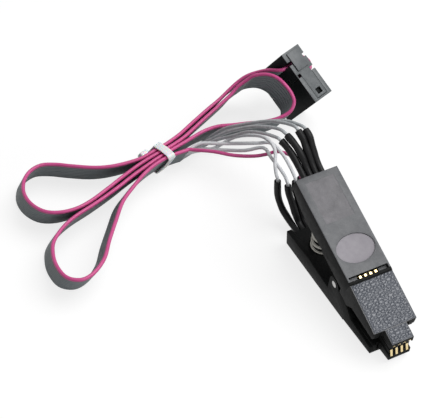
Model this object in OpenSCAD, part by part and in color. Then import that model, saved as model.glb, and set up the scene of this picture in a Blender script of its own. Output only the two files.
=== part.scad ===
// Spring-loaded test clip for an eight-pin small-outline chip, with its ribbon lead set.
// X runs forward to the nose, Y across and Z up. The clip rests on its lower arm, and the cable
// lies behind it. Each jaw is drawn in the jaw frame: the origin on the mid-plane above the hinge
// pin, X forward and Z outward, so the lower jaw is drawn mirrored.

/* [Jaws] */
// Width of both jaws
jaw_w = 10.4; // [10:0.1:11]
// Thickness of each side wall
wall_t = 1.3; // [1.1:0.05:1.4]
// Thickness of the arm slab between the side walls
slab_t = 4.2; // [4:0.1:4.4]
// Hinge pin back to the outer rear corner
rear_len = 20.64; // [19.5:0.1:24]
// Mid-plane out to the rear corner
rear_h = 12.18; // [11.8:0.1:12.6]
// Hinge pin forward to the step of the front panel
step_len = 5.54; // [5.2:0.05:5.8]
// Mid-plane out to the step
step_h = 7.03; // [6.9:0.02:7.2]
// Drop of the front panel below the arm
panel_drop = 0.25; // [0.1:0.05:0.4]
// Hinge pin forward to the shoulder
shoulder_len = 16.8; // [16.4:0.1:17.2]
// Mid-plane out to the shoulder
shoulder_h = 3.99; // [3.9:0.02:4.1]
// Hinge pin forward to the nose tip
nose_len = 20.25; // [20:0.05:20.6]
// Mid-plane out to the outer edge of the nose tip
nose_h = 3.2; // [3:0.05:3.4]
// Width of the nose
nose_w = 5.35; // [5.2:0.05:5.6]
// Length of the finger recess along the arm
oval_l = 6.8; // [6:0.1:7.2]
// Width of the finger recess
oval_w = 9; // [8:0.1:9.2]
// Gap between the two noses when the clip is closed
nose_gap = 0.3; // [0.2:0.05:0.4]

/* [Hinge] */
// Diameter of the hinge pin
pin_d = 1.6; // [1.4:0.05:1.7]
// Depth of the pin below the mid-plane
pin_drop = 0.4; // [0.3:0.05:0.5]
// Radius of the hinge ears and lugs
ear_r = 1.9; // [1.7:0.05:2]
// Width of each inner lug
lug_w = 1.35; // [1.1:0.05:1.5]
// Diametral running clearance of the pin in the lugs
lug_fit = 0.1; // [0.06:0.02:0.16]
// Diametral clearance of the pin in the ears
ear_fit = 0.02; // [0.02:0.01:0.06]
// Side gap between an ear and its lug
side_gap = 0.1; // [0.06:0.02:0.2]

/* [Spring] */
// Outer diameter of the spring
spring_od = 6; // [5.4:0.1:6.4]
// Diameter of the spring wire
wire_d = 0.7; // [0.5:0.05:0.8]
// Hinge pin back to the spring axis
spring_back = 13.5; // [12.5:0.1:14]
// Mid-plane out to each spring seat
seat_h = 7.2; // [7.1:0.05:7.4]
// Number of turns
turns = 7.5; // [5:0.5:9]

/* [Contacts] */
// Spacing of the contacts
contact_pitch = 1.27; // [1.25:0.01:1.3]
// Width of a contact strip
contact_w = 0.55; // [0.4:0.05:0.6]
// Thickness of a contact strip
contact_t = 0.36; // [0.25:0.01:0.4]
// Depth of the strips below the outer face
contact_depth = 2.2; // [2.1:0.05:2.3]
// Clearance round a strip in its channel
channel_fit = 0.05; // [0.03:0.01:0.06]
// Width of the comb slot along the arm
slot_w = 0.95; // [0.9:0.05:1.1]
// Depth at which a contact shows in the comb slot
pad_depth = 0.8; // [0.6:0.1:1.2]

/* [Sleeves and leads] */
// Outer diameter of a sleeve
sleeve_od = 1.45; // [1.4:0.01:1.45]
// Inner diameter of a sleeve
sleeve_id = 1.06; // [1:0.01:1.1]
// Spacing of the sleeves at the jaw
sleeve_pitch = 1.47; // [1.47:0.01:1.5]
// Length of sleeve held inside the jaw
sleeve_grip = 3.5; // [3:0.1:4]
// Diameter of one insulated conductor
lead_d = 0.9; // [0.8:0.02:0.9]

/* [Cable] */
// Spacing of the conductors in the ribbon
ribbon_pitch = 1.27; // [1.2:0.01:1.27]
// Width of the tie band along the cable
tie_w = 2.3; // [1.8:0.1:3]
// Thickness of the tie band
tie_t = 0.4; // [0.3:0.05:0.45]

/* [Connector] */
// Length of the connector along its rows
conn_l = 14.8; // [14.6:0.1:15.6]
// Thickness of the connector across its two rows
conn_w = 6; // [5.8:0.05:6.4]
// Height of the socket body
socket_h = 7.2; // [7:0.1:7.6]
// Height of the cover
cover_h = 2.9; // [2.5:0.1:3.2]
// Height of the strain relief bar
relief_h = 2.5; // [2:0.1:3]
// Spacing of the socket holes
pin_pitch = 2.54; // [2.5:0.01:2.54]
// Side of the square entry of a socket hole
entry = 0.8; // [0.7:0.05:0.9]

/* [Hidden] */
$fn = 48;
// The parts in the order of the assembly, and the one that is drawn

// Outer face of the jaw: slope of the arm, and heights of the arm and of the front panel
arm_a = atan2(rear_h - step_h, rear_len + step_len);
function arm_h(u) = step_h + (step_len - u) * tan(arm_a);
panel_h = step_h - panel_drop;
front_slope = (panel_h - shoulder_h) / (shoulder_len - step_len);
function front_h(u) = panel_h - (u - step_len) * front_slope;
function slab_h(u) = arm_h(u) - slab_t / cos(arm_a);

// The lower arm lies flat, and the origin is below the middle of the jaws
lift = rear_h * cos(arm_a) - rear_len * sin(arm_a);
back_x = -rear_len * cos(arm_a) - rear_h * sin(arm_a);
front_x = nose_len * cos(arm_a) + nose_h * sin(arm_a);
shift = -(back_x + front_x) / 2;
function to_world(p) = [
    shift + p.x * cos(arm_a) + p.z * sin(arm_a),
    p.y,
    lift - p.x * sin(arm_a) + p.z * cos(arm_a)
];
wall_in = jaw_w / 2 - wall_t;
lug_out = wall_in - side_gap;
cut = 1;

// Strip runs at one depth under the arm and then under the front panel
strip_arm = contact_depth / cos(arm_a);
strip_front = contact_depth * sqrt(1 + front_slope * front_slope);
half_t = contact_t / 2 + 0.02;
tip_in = nose_gap / 2 - 0.03;
tail_u = -rear_len + 1.2;
bend_u = step_len - 0.3;
function row_y(k, pitch) = (k - 2.5) * pitch;

// Comb slot, and the side view of a point below the arm's face
slot_s = (rear_len + step_len) / cos(arm_a) - 1.65;
pad_gap = 0.18;
function on_side(s, depth) = [
    -rear_len + s * cos(arm_a) - depth * sin(arm_a),
    rear_h - s * sin(arm_a) - depth * cos(arm_a)
];

// Connector: it leans back on its lower edge and is turned about the vertical
conn_at = [-59.2, 15.3, 0];
conn_lean = 52;
conn_turn = 20;
cable_t = lead_d;
cover_z = socket_h + cable_t;
fold_z = cover_z + cover_h;
relief_z = fold_z + cable_t;
function conn_world(p) =
    let (x = p.x * cos(conn_lean) - p.z * sin(conn_lean))
    conn_at + [
        x * cos(conn_turn) - p.y * sin(conn_turn),
        x * sin(conn_turn) + p.y * cos(conn_turn),
        p.x * sin(conn_lean) + p.z * cos(conn_lean)
    ];
conn_row = conn_world([1, 0, 0]) - conn_at;

// Ribbon: its middle line, and the direction from the low edge to the edge of wire 1
ribbon_up = unit([0.573, 0.072, 0.816]);
ribbon_half = 3.5 * ribbon_pitch + lead_d / 2;
socket_end = [
    [conn_l / 2, 0.4, socket_h + cable_t / 2],
    [conn_l / 2, conn_w / 2, socket_h + cable_t / 2],
    [conn_l / 2, conn_w + 0.3, socket_h + cable_t / 2],
    [conn_l / 2, conn_w + 1.3, socket_h + cable_t / 2 + 0.8],
    [conn_l / 2, conn_w + 1.7, (socket_h + fold_z + cable_t) / 2],
    [conn_l / 2, conn_w + 1.3, fold_z + cable_t / 2 - 0.8],
    [conn_l / 2, conn_w + 0.3, fold_z + cable_t / 2],
    [conn_l / 2, conn_w / 2, fold_z + cable_t / 2],
    [conn_l / 2, -0.4, fold_z + cable_t / 2]
];
ribbon_free = [
    [-66.5, 11.1, 11.4], [-68.6, 9.2, 10], [-69.7, 6.9, 8.9], [-70.1, 4.7, 7.6],
    [-69.7, 2.2, 6.4], [-68.7, -1.1, 5.2], [-67.3, -5, 4.6], [-64.8, -10.2, 4.4],
    [-62.1, -15.2, 4.5], [-60, -20.2, 4.8],
    [-59.3, -23.2, 4.8], [-58.8, -27, 4.4], [-59.4, -32.8, 4.3], [-61.1, -37.6, 4.3],
    [-64.5, -42.7, 4.3], [-66.7, -45.7, 4.3], [-68.2, -49, 4.3], [-67.4, -52.1, 4.3],
    [-65, -54.5, 4.3], [-61.1, -56, 4.3], [-56.8, -55.8, 4.3], [-53, -54, 4.3],
    [-50.9, -51, 4.3], [-50.2, -47.1, 4.3], [-50.9, -43.1, 4.3], [-52.9, -38, 4.3],
    [-55.3, -32.5, 4.3], [-56.9, -27.9, 4.5], [-57.9, -23.6, 4.8],
    [-58.6, -20, 4.8], [-60.7, -14.5, 4.5], [-63.6, -8.7, 4.7], [-65.5, -3.9, 5.4],
    [-66.8, 1.1, 7], [-67.2, 3.6, 8.6], [-66.7, 5.9, 10.2], [-65.6, 7.5, 11.8],
    [-63.4, 9.8, 12.9], [-60.8, 11.4, 13], [-58, 12.2, 12.4], [-56, 12.8, 11],
    [-54.4, 12.7, 9.5], [-53.6, 11.5, 8], [-53.7, 9.9, 7], [-54.5, 7.4, 6],
    [-56, 4.7, 5.2], [-58, 1.2, 4.6], [-59.2, -1.7, 4.4], [-60.6, -5.2, 4.3],
    [-60.7, -8.9, 4.3], [-59.8, -12.8, 4.3], [-58.6, -16.6, 4.5], [-57.3, -20.4, 4.8],
    [-56.3, -24, 4.8], [-54.3, -30.4, 4.4], [-52.1, -35.7, 4.3], [-49.8, -41.9, 4.3],
    [-48, -47.7, 4.3], [-46, -51.7, 4.3], [-42.8, -55.3, 4.3], [-39.4, -56.9, 4.3],
    [-35.6, -57.6, 4.3], [-31.6, -57.2, 4.3], [-29.4, -55.7, 4.3], [-28.5, -53.4, 4.3],
    [-29.6, -50.3, 4.3], [-32.5, -47, 4.3], [-36.9, -44.1, 4.3], [-42.1, -40.3, 4.3],
    [-47.2, -36.4, 4.3], [-50.5, -32.4, 4.3], [-53.3, -28.3, 4.5], [-54.9, -24.4, 4.8],
    [-55.8, -20.7, 4.8], [-56.1, -16, 4.5]
];
ribbon_path = concat([for (p = socket_end) conn_world(p)], ribbon_free);
ribbon_end = ribbon_free[len(ribbon_free) - 1];
ribbon_aim = heading(ribbon_free, len(ribbon_free) - 1);
lead_gap = 0.25;
function lead_start(k) = ribbon_end + (4.5 - k) * ribbon_pitch * ribbon_up + lead_gap * ribbon_aim;

// Sleeves: route behind the jaw, as offsets from where each one leaves the arm
SLEEVES = [
    [[-2.7, 0, 1.3], [-4.6, -0.1, 2.5], [-6.7, -0.3, 3.4], [-8.6, -0.6, 4], [-9.5, -1, 4.5]],
    [[-2.1, 0, 1.3], [-3.9, -0.1, 3.1], [-5.5, -0.3, 4.2], [-7.2, -0.6, 5], [-9.3, -1, 5.6]],
    [[-2.2, 0, 1.5], [-3.9, 0, 3.2], [-5.2, 0, 4.5], [-6.5, 0, 5.8], [-8.2, -0.3, 7]],
    [[-2.5, 0, 1.4], [-3.9, 0, 2.8], [-4.8, 0, 4], [-6.2, 0.1, 5.8], [-8, 0, 6.6]],
    [[-2.2, 0, 0.1], [-4.4, -0.1, 0.6], [-7, -0.3, 1.8], [-8.3, -0.6, 4.8], [-8.4, -0.6, 9.4]],
    [[-2, 0, 0.6], [-3.1, -0.2, 2.4], [-4.3, -0.3, 4.3], [-5.7, -0.5, 6.8], [-6.1, -0.6, 9.2]],
    [[-2.1, 0, 0.5], [-3.4, 0, 2.2], [-4.8, 0, 4.4], [-6.2, 0, 6.9], [-6.5, 0.1, 9.2]],
    [[-2.2, 0, 0.4], [-3.8, 0.1, 2], [-5.4, 0.1, 4.2], [-6.6, 0.2, 6.8], [-6.9, 0.2, 9.4]]
];
// Leads: free route from the end of the ribbon to the top of a sleeve
LEADS = [
    [[-52.6, -13.7, 8.2], [-48.9, -10.4, 9.2], [-45.3, -6.8, 9.3], [-42.4, -2.9, 9.7],
     [-40.6, -0.1, 10.6], [-39.6, 2, 11.3], [-36, 3.6, 12.2], [-31.8, 3.2, 12.9]],
    [[-54, -11.7, 8.3], [-50.6, -7.9, 9.4], [-47.3, -4.1, 10.4], [-44.3, -0.9, 11.5],
     [-41.9, 1.6, 12.3], [-36.5, 1.9, 12.8], [-30.9, 1.2, 12.9]],
    [[-53.8, -11.9, 6.8], [-49.7, -7.9, 8], [-45.1, -3.9, 9.8], [-41.9, -0.6, 11.8],
     [-37, -0.9, 12.6], [-33, -0.8, 12.5], [-29.8, -1.1, 12.7]],
    [[-55.1, -12, 5.2], [-53.2, -8.6, 6], [-51.4, -3.5, 9], [-46.2, -0.3, 12.2],
     [-41.9, 0.6, 13.9], [-37.3, 0.2, 14.5], [-33.4, -1.8, 13.8], [-31.3, -2.6, 12.9]],
    [[-56.5, -12, 4.2], [-54.2, -8.2, 7.5], [-48.4, -5.2, 12.5], [-43.3, -3.5, 17],
     [-36, -3.2, 22], [-30.4, -3.3, 25.4]],
    [[-57.6, -12.2, 3.2], [-56.9, -8.8, 5.4], [-53.4, -4.9, 9.5], [-44.8, -2.8, 17],
     [-37.1, -2.2, 22.8], [-30.8, -1.9, 26.8]],
    [[-58.6, -12.3, 2.1], [-58.3, -8.6, 4.5], [-55.5, -4.8, 8.8], [-49.2, -2.8, 14.3],
     [-39, -1, 22.5], [-32.4, -0.5, 27], [-28.6, 0.2, 28.8]],
    [[-59.7, -12.2, 1.2], [-59.4, -8, 3.4], [-56.9, -4.2, 7.3], [-51.2, -1.9, 12.2],
     [-40.4, -0.2, 21], [-33.2, 1, 26.2], [-28.8, 1.8, 28.2]]
];
// Sleeve that each lead ends in, counted from 0: the upper sleeves are the first four
LEAD_TO = [7, 6, 5, 4, 0, 1, 2, 3];

function unit(v) = v / norm(v);
function bezel(a, b, c, d, t) =
    ((2 * b) + (c - a) * t + (2 * a - 5 * b + 4 * c - d) * t * t
     + (3 * b - a - 3 * c + d) * t * t * t) / 2;
// Smooth line through the points, with n steps from each point to the next
function smooth(p, n) = let (last = len(p) - 1) concat(
    [for (i = [0:last - 1], k = [0:n - 1])
        bezel(p[max(i - 1, 0)], p[i], p[i + 1], p[min(i + 2, last)], k / n)],
    [p[last]]
);
function heading(p, i) = unit(p[min(i + 1, len(p) - 1)] - p[max(i - 1, 0)]);
// One ring of points round the line, where ref is never along the line
function ring(p, i, r, sides, ref) =
    let (t = heading(p, i), n = unit(cross(t, ref)), b = cross(t, n))
    [for (k = [0:sides - 1]) p[i] + r * (cos(360 * k / sides) * n + sin(360 * k / sides) * b)];
// Two triangles for each cell between ring i and ring j of one skin
function skin(i, j, sides) = [for (k = [0:sides - 1], f = [0, 1])
    let (a = i * sides + k, b = i * sides + (k + 1) % sides, c = j * sides + k,
         d = j * sides + (k + 1) % sides)
    f == 0 ? [a, d, b] : [a, c, d]];

// Solid round bar along a line
module bar(p, r, sides, ref) {
    n = len(p);
    polyhedron(
        [for (i = [0:n - 1]) each ring(p, i, r, sides, ref)],
        concat(
            [for (i = [0:n - 2]) each skin(i, i + 1, sides)],
            [[for (k = [0:sides - 1]) k]],
            [[for (k = [0:sides - 1]) n * sides - 1 - k]]
        ),
        convexity = 10
    );
}

// Round tube along a line: the outer rings run forward and the inner rings back
module hose(p, r_out, r_in, sides, ref) {
    n = len(p);
    polyhedron(
        concat(
            [for (i = [0:n - 1]) each ring(p, i, r_out, sides, ref)],
            [for (i = [n - 1:-1:0]) each ring(p, i, r_in, sides, ref)]
        ),
        [for (i = [0:2 * n - 1]) each skin(i, (i + 1) % (2 * n), sides)],
        convexity = 10
    );
}

// Flat strip along a line: it turns from the row of the connector to its free lean
module strip(p, half, t, first) {
    n = len(p);
    function lean(i) = let (w = max(0, min(1, (i - first) / 6)))
        unit(conn_row * (1 - w) + ribbon_up * w);
    function corner(i) = let (d = lean(i), s = unit(cross(heading(p, i), d)))
        [p[i] - half * d - t / 2 * s, p[i] + half * d - t / 2 * s,
         p[i] + half * d + t / 2 * s, p[i] - half * d + t / 2 * s];
    polyhedron(
        [for (i = [0:n - 1]) each corner(i)],
        concat(
            [for (i = [0:n - 2]) each skin(i, i + 1, 4)],
            [[0, 1, 2, 3]],
            [[for (k = [0:3]) n * 4 - 1 - k]]
        ),
        convexity = 20
    );
}

// Places drawings of the jaw frame on the table
module jaw_frame() {
    translate([shift, 0, lift]) rotate([0, arm_a, 0]) children();
}

// Point on the outer face of the arm: s forward from the rear corner, and depth below the face
module on_arm(s, depth = 0) {
    translate([-rear_len, 0, rear_h]) rotate([0, arm_a, 0]) translate([s, 0, -depth]) children();
}

// Outline in the jaw frame, with its width across
module across(outline, y_min, y_max) {
    translate([0, y_max, 0]) rotate([90, 0, 0]) linear_extrude(y_max - y_min) polygon(outline);
}

module both_sides() {
    children();
    mirror([0, 1, 0]) children();
}

outer_edge = [
    [-rear_len, rear_h], [step_len, step_h], [step_len, panel_h], [shoulder_len, shoulder_h]
];
upper_wall = concat(outer_edge, [
    [shoulder_len - 0.35, 1.4], [7.6, 0.9], [5.6, -0.9], [2.3, 0.05], [2.45, 1.5],
    [-5, 3.2], [-14, 3.7], [-17.9, 5.3], [-rear_len - 1.26, rear_h - 4.53]
]);
lower_wall = concat(outer_edge, [
    [shoulder_len - 0.35, 2.1], [8.2, 3], [5.6, 1.02], [2.3, 0.1], [0, pin_drop],
    [-ear_r, pin_drop], [-2.1, 4.5], [-5, 4.9], [-11, 5.4], [-15.3, 6.6],
    [-rear_len - 0.56, rear_h - 4.24]
]);
slab = concat(outer_edge, [
    [shoulder_len - 0.2, 1.5], [13.5, 1.9], [8, 3.1], [step_len - 0.5, slab_h(step_len - 0.5)],
    [-rear_len + 0.5, slab_h(-rear_len + 0.5)], [-rear_len - 0.5, rear_h - 2.8]
]);
nose = [
    [15.8, front_h(15.8)], [shoulder_len, shoulder_h], [nose_len, nose_h], [nose_len, 1.5],
    [15.8, 1.5]
];
carrier = [
    [11, 2.6], [13.2, nose_gap / 2], [19.6, nose_gap / 2], [19.6, 1.6], [16, 1.9], [13, 3]
];

// Channel of one strip: a tunnel to the shoulder, then open at the front of the nose
channel = let (h = half_t + channel_fit) [
    [tail_u - 0.1, arm_h(tail_u) - strip_arm + h], [bend_u, arm_h(bend_u) - strip_arm + h],
    [shoulder_len, front_h(shoulder_len) - strip_front + h + 0.05], [19.1, 2.3],
    [nose_len + cut, 2.3], [nose_len + cut, -cut], [18.6, -cut], [18.6, 0.8],
    [shoulder_len, front_h(shoulder_len) - strip_front - h],
    [bend_u, arm_h(bend_u) - strip_arm - h], [tail_u - 0.1, arm_h(tail_u) - strip_arm - h]
];

// Everything that the two jaws share
module jaw_shell(wall) {
    difference() {
        union() {
            both_sides() across(wall, wall_in, jaw_w / 2);
            across(slab, -wall_in - wall_t / 2, wall_in + wall_t / 2);
            across(nose, -nose_w / 2, nose_w / 2);
            across(carrier, -nose_w / 2 + 0.22, nose_w / 2 - 0.22);
        }
        for (k = [1:4]) {
            across(
                channel, row_y(k, contact_pitch) - contact_w / 2 - channel_fit,
                row_y(k, contact_pitch) + contact_w / 2 + channel_fit
            );
            translate([0, row_y(k, sleeve_pitch), 0]) on_arm(-2, contact_depth)
                rotate([0, 90, 0]) cylinder(d = sleeve_od + 0.05, h = sleeve_grip + 2);
        }
        comb_slot();
        finger_oval();
        grip_panel();
        shoulder_groove();
        translate([-spring_back, 0, 0]) cylinder(d = spring_od + 0.6, h = seat_h);
    }
}

// Slot across the arm, deeper over the contacts
module comb_slot() {
    on_arm(slot_s) translate([0, 0.45 - jaw_w / 2, -1]) cube([slot_w, jaw_w - 0.9, 2]);
    on_arm(slot_s, 2.5) translate([0, -2.6, 0]) cube([slot_w, 5.2, 3]);
}

// Shallow oval recess for the finger
module finger_oval() {
    on_arm(19.25, 0.3) linear_extrude(1)
        polygon([for (a = [0:10:350]) [oval_l / 2 * cos(a), oval_w / 2 * sin(a)]]);
}

// Faint panel at the rear of the arm
module grip_panel() {
    on_arm(1.5, 0.05) translate([0, -3.5, 0]) cube([10.5, 7, 1]);
}

// Small upright groove at each side of the nose
module shoulder_groove() {
    both_sides() translate([shoulder_len - 0.7, nose_w / 2 + 0.35, 0]) cube([2, 0.5, 3.2]);
}

module lower_jaw() {
    color("dimgray") jaw_frame() mirror([0, 0, 1]) difference() {
        union() {
            jaw_shell(lower_wall);
            both_sides() translate([0, jaw_w / 2, pin_drop]) rotate([90, 0, 0])
                cylinder(r = ear_r, h = wall_t);
        }
        translate([0, jaw_w, pin_drop]) rotate([90, 0, 0])
            cylinder(d = pin_d + ear_fit, h = 2 * jaw_w);
    }
}

module upper_jaw() {
    color("slategray") jaw_frame() difference() {
        union() {
            jaw_shell(upper_wall);
            both_sides() hinge_lug();
        }
        translate([0, jaw_w, -pin_drop]) rotate([90, 0, 0])
            cylinder(d = pin_d + lug_fit, h = 2 * jaw_w);
        both_sides() flank_recess();
    }
}

// Lug that hangs from the arm to the pin
module hinge_lug() {
    translate([0, lug_out, -pin_drop]) rotate([90, 0, 0]) cylinder(r = ear_r, h = lug_w);
    translate([-ear_r, lug_out - lug_w, -pin_drop])
        cube([2 * ear_r, lug_w, slab_h(ear_r) + pin_drop + 0.6]);
}

// Recessed band along the lower part of the flank, with a round front end
module flank_recess() {
    on_arm(-2, 5.2) translate([0, jaw_w / 2 - 0.35, -2.6]) {
        cube([15.6, 1, 4.4]);
        translate([15.6, 0, 2.4]) rotate([-90, 0, 0]) cylinder(r = 2, h = 1);
    }
}

module hinge_pin() {
    color("silver") jaw_frame() translate([0, jaw_w / 2, -pin_drop]) rotate([90, 0, 0])
        cylinder(d = pin_d, h = jaw_w);
}

// Closed end turns, and open turns between them
spring_r = (spring_od - wire_d) / 2;
spring_len = 2 * seat_h - wire_d;
end_rise = wire_d * 1.2;
open_rise = (spring_len - 2 * end_rise) / (turns - 2);
function spring_z(a) = a < 1 ? a * end_rise
    : a > turns - 1 ? spring_len - (turns - a) * end_rise
    : end_rise + (a - 1) * open_rise;
module jaw_spring() {
    steps = 14;
    helix = [for (i = [0:turns * steps]) let (a = i / steps)
        [spring_r * cos(360 * a), spring_r * sin(360 * a), spring_z(a) - spring_len / 2]];
    color("gainsboro") jaw_frame() translate([-spring_back, 0, 0])
        bar(helix, wire_d / 2, 6, [0, 0, 1]);
}

// Side view of one strip, from its tail in the sleeve to its tip at the nose
contact_side = [
    [tail_u, arm_h(tail_u) - strip_arm + half_t],
    on_side(slot_s + pad_gap, contact_depth - half_t), on_side(slot_s + pad_gap, pad_depth),
    on_side(slot_s + slot_w - pad_gap, pad_depth),
    on_side(slot_s + slot_w - pad_gap, contact_depth - half_t),
    [bend_u, arm_h(bend_u) - strip_arm + half_t],
    [shoulder_len, front_h(shoulder_len) - strip_front + half_t], [19.3, 1.75], [19.75, 2.2],
    [20.15, 2.05], [19.65, 0.6], [19.45, tip_in], [18.9, tip_in], [18.7, 0.85],
    [shoulder_len, front_h(shoulder_len) - strip_front - half_t],
    [bend_u, arm_h(bend_u) - strip_arm - half_t], [tail_u, arm_h(tail_u) - strip_arm - half_t]
];
module contact(k) {
    y = row_y(k, contact_pitch);
    tail_w = 0.3;
    tail_len = 3;
    color("gold") difference() {
        across(contact_side, y - contact_w / 2, y + contact_w / 2);
        for (side = [-1, 1])
            translate([tail_u - cut, y + side * (tail_w + cut) / 2 - cut / 2, 0])
                cube([tail_len + cut, cut, rear_h]);
    }
}

module upper_contact(k) {
    jaw_frame() contact(k);
}

module lower_contact(k) {
    jaw_frame() mirror([0, 0, 1]) contact(k);
}

// Line of a sleeve: straight in the arm, then its free route
function arm_point(s, depth, y, side) = to_world([
    -rear_len + s * cos(arm_a) - depth * sin(arm_a), y,
    side * (rear_h - s * sin(arm_a) - depth * cos(arm_a))
]);
function sleeve_line(i) =
    let (side = i < 4 ? 1 : -1, y = row_y(i % 4 + 1, sleeve_pitch),
         leave = arm_point(-0.3, contact_depth, y, side))
    smooth(concat(
        [arm_point(sleeve_grip, contact_depth, y, side),
         arm_point(sleeve_grip / 3, contact_depth, y, side), leave],
        [for (p = SLEEVES[i]) leave + p]
    ), 3);
module sleeve(i) {
    color("black") hose(sleeve_line(i), sleeve_od / 2, sleeve_id / 2, 8, [0, 1, 0]);
}

// Line of a lead: from the ribbon, along its route and into its sleeve
function lead_line(k) =
    let (s = sleeve_line(LEAD_TO[k - 1]), n = len(s))
    concat(
        smooth(concat(
            [lead_start(k), lead_start(k) + 0.8 * ribbon_aim], LEADS[k - 1],
            [s[n - 1] + 0.8 * heading(s, n - 1), s[n - 1]]
        ), 3),
        [s[n - 2], s[n - 3]]
    );
module lead(k) {
    color(k == 1 ? "palevioletred" : "lightgray")
        bar(lead_line(k), lead_d / 2, 8, [0.6, -0.75, 0.1]);
}

module ribbon_cable() {
    color("gray") strip(ribbon_path, ribbon_half, cable_t, len(socket_end));
}

// Band round four passes of the ribbon, with its lock on the far side
module cable_tie() {
    tie_at = [-57.7, -21.5, 4.8];
    pass_gap = 1.36;
    far = [0.57, 0.816] * (ribbon_half + 0.4);
    side = [1.5 * pass_gap + 0.85, 0];
    bundle = [far + side, far - side, -far - side, side - far];
    lock_l = 2.4;
    lock_t = 1.7;
    color("white") translate(tie_at) rotate([0, 0, 16.3]) rotate([90, 0, 0]) {
        linear_extrude(tie_w, center = true) difference() {
            offset(r = tie_t) polygon(bundle);
            polygon(bundle);
        }
        translate(-side) rotate([0, 0, 55]) translate([-3.9, lock_t / 2, 0])
            cube([lock_l, lock_t, lock_l], center = true);
    }
}

module connector_frame() {
    translate(conn_at) rotate([0, -conn_lean, conn_turn]) children();
}

// Places children at each of the eight socket holes
module each_way() {
    for (i = [-1.5:1.5], j = [-0.5, 0.5])
        translate([conn_l / 2 + i * pin_pitch, conn_w / 2 + j * pin_pitch, 0]) children();
}

// Latching arms of the cover, with a window for the latch near the lower end
arm_w = 3.4;
arm_t = 0.9;
arm_z = 0.6;
window_z = 1.3;
window_h = 1.5;
latch_gap = 0.1;
module connector_socket() {
    cavity = 1.2;
    color("#26282a") connector_frame() difference() {
        union() {
            cube([conn_l, conn_w, socket_h]);
            translate([conn_l / 2 - 2.2, conn_w, 1.5]) cube([4.4, 0.8, socket_h - 1.5]);
        }
        for (x = [-cut, conn_l - arm_t])
            translate([x, (conn_w - arm_w) / 2 - 0.05, arm_z - latch_gap])
                cube([arm_t + cut, arm_w + 0.1, socket_h]);
        each_way() translate([-entry / 2, -entry / 2, -cut]) cube([entry, entry, 3]);
        each_way() translate([-cavity / 2, -cavity / 2, 0.8]) cube([cavity, cavity, socket_h]);
    }
    color("#26282a") connector_frame() for (x = [arm_t - 0.3, conn_l - arm_t - 0.1])
        translate([x - 0.2, conn_w / 2 - 0.7, window_z + latch_gap])
            cube([0.6, 1.4, window_h - 2 * latch_gap]);
}

// Cover: a bar over the cable with two arms that latch on the socket, and a lip over the cut end
module connector_cover() {
    color("#7c8589") connector_frame() difference() {
        union() {
            translate([0, 0, cover_z]) cube([conn_l, conn_w, cover_h]);
            for (x = [0, conn_l - arm_t])
                translate([x, (conn_w - arm_w) / 2, arm_z]) cube([arm_t, arm_w, cover_z]);
            translate([0, 0, socket_h + 0.05]) cube([conn_l, 0.3, cable_t]);
        }
        for (x = [-cut, conn_l - arm_t - cut])
            translate([x, conn_w / 2 - 0.8, window_z]) cube([arm_t + 2 * cut, 1.6, window_h]);
        for (k = [0:7])
            translate([conn_l / 2 + (k - 3.5) * ribbon_pitch, -cut, cover_z]) rotate([-90, 0, 0])
                cylinder(d = 0.6, h = conn_w + 2 * cut);
    }
}

// Strain relief: a bar that clamps the folded cable, with a short arm at each end
module connector_strain_relief() {
    color("#7c8589") connector_frame() {
        translate([0, 0, relief_z]) cube([conn_l, conn_w, relief_h]);
        for (x = [-0.45, conn_l])
            translate([x, conn_w / 2 - 1.9, cover_z + 0.6])
                cube([0.45, 3.8, relief_z - cover_z + relief_h - 1.2]);
    }
}

// Square spring receptacle with its cable fork, once for each hole
module connector_contacts() {
    color("gold") connector_frame() each_way() difference() {
        union() {
            translate([-0.55, -0.55, 0.9]) cube([1.1, 1.1, 4.6]);
            translate([-0.15, -0.5, 5.4]) cube([0.3, 1, socket_h - 5.4]);
        }
        translate([-0.36, -0.36, 0]) cube([0.72, 0.72, 5.1]);
        translate([-1, -0.15, 6]) cube([2, 0.3, 2]);
    }
}

lower_jaw();
upper_jaw();
hinge_pin();
jaw_spring();
for (k = [1:4]) {
    upper_contact(k);
    lower_contact(k);
    sleeve(k - 1);
    sleeve(k + 3);
}
for (k = [1:8]) {
    lead(k);
}
ribbon_cable();
cable_tie();
connector_socket();
connector_cover();
connector_strain_relief();
connector_contacts();
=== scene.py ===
"""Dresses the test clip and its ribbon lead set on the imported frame.

The clip lies on its lower arm with its nose along +X, and the cable lies behind it. Sizes are in
metres, apart from the routes, which repeat those of the part's source in millimetres.
"""

import logging
import math
from collections.abc import Iterable, Mapping, Sequence
from dataclasses import dataclass, field
from enum import Enum

import bmesh
import bpy
from mathutils import Matrix, Vector, noise

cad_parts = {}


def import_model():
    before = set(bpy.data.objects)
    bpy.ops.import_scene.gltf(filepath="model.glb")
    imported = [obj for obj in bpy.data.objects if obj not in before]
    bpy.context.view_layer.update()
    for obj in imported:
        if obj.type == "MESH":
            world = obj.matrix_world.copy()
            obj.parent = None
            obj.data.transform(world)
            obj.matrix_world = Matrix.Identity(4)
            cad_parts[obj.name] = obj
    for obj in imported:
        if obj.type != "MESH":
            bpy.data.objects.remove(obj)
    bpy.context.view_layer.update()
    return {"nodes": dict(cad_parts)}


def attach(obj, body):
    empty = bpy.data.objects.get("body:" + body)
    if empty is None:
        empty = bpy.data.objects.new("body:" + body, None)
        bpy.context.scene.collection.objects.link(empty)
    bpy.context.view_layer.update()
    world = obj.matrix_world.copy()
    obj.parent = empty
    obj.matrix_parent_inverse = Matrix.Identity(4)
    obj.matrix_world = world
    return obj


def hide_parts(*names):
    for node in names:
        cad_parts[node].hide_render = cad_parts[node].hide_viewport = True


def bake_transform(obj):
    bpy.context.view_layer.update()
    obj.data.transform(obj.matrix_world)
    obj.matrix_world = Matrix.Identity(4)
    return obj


LOG = logging.getLogger("test_clip")
LOWER = "lower_body"
UPPER = "upper_body"

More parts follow.
